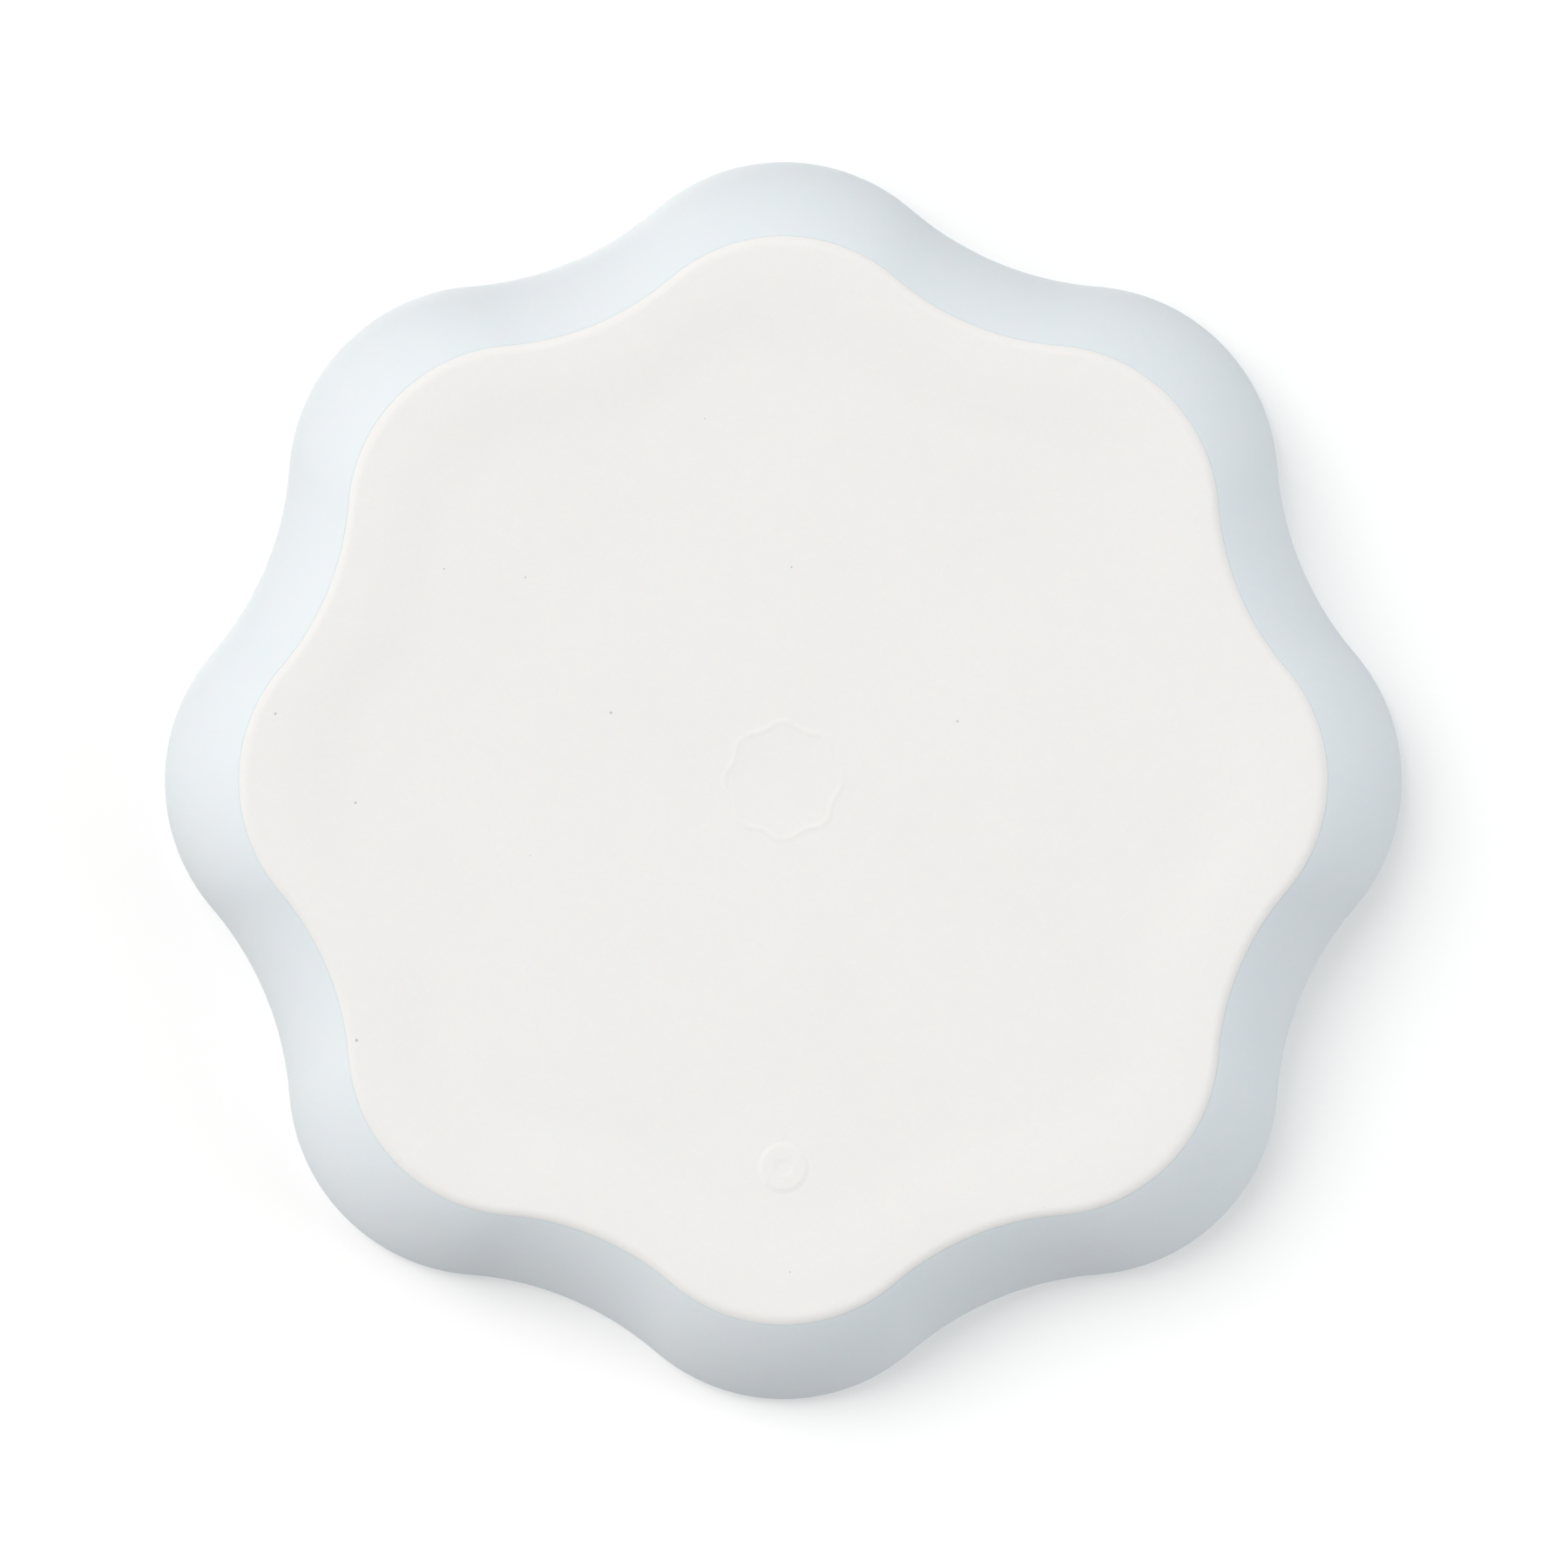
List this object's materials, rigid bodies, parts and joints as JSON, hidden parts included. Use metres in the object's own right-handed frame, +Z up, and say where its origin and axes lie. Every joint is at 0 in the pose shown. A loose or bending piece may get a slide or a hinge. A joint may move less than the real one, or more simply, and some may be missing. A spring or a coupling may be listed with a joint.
{
  "type": "mixing palette",
  "caption": "Scalloped flower-shaped paint mixing palette: a dish with a foot pad and a lift-out tray of petal wells round a mixing well.",
  "frame": {"origin": "middle of the foot pad's underside, on the surface that the palette stands on", "axes": "+Z is up, out of the wells; +X and +Y each run through the tip of a lobe; the round button in the pad is towards -Y"},
  "size_m": [0.16, 0.16, 0.015],
  "materials": {
    "pale_blue_plastic": "satin, very pale blue",
    "white_gloss_melamine": "glossy white, guessed",
    "white_soft_rubber": "matte warm white, soft and non-slip",
    "adhesive_film": "translucent off-white film, guessed"
  },
  "bodies": {
    "dish": {"outer_dish": "pale_blue_plastic", "base_pad": "white_soft_rubber", "pad_adhesive": "adhesive_film"},
    "tray": {"well_tray": "white_gloss_melamine"}
  },
  "joints": [
    {"name": "well_tray_lift", "type": "slide", "parent": "dish", "child": "tray", "axis": [0, 0, 1], "range_m": [0, 0.03]}
  ]
}
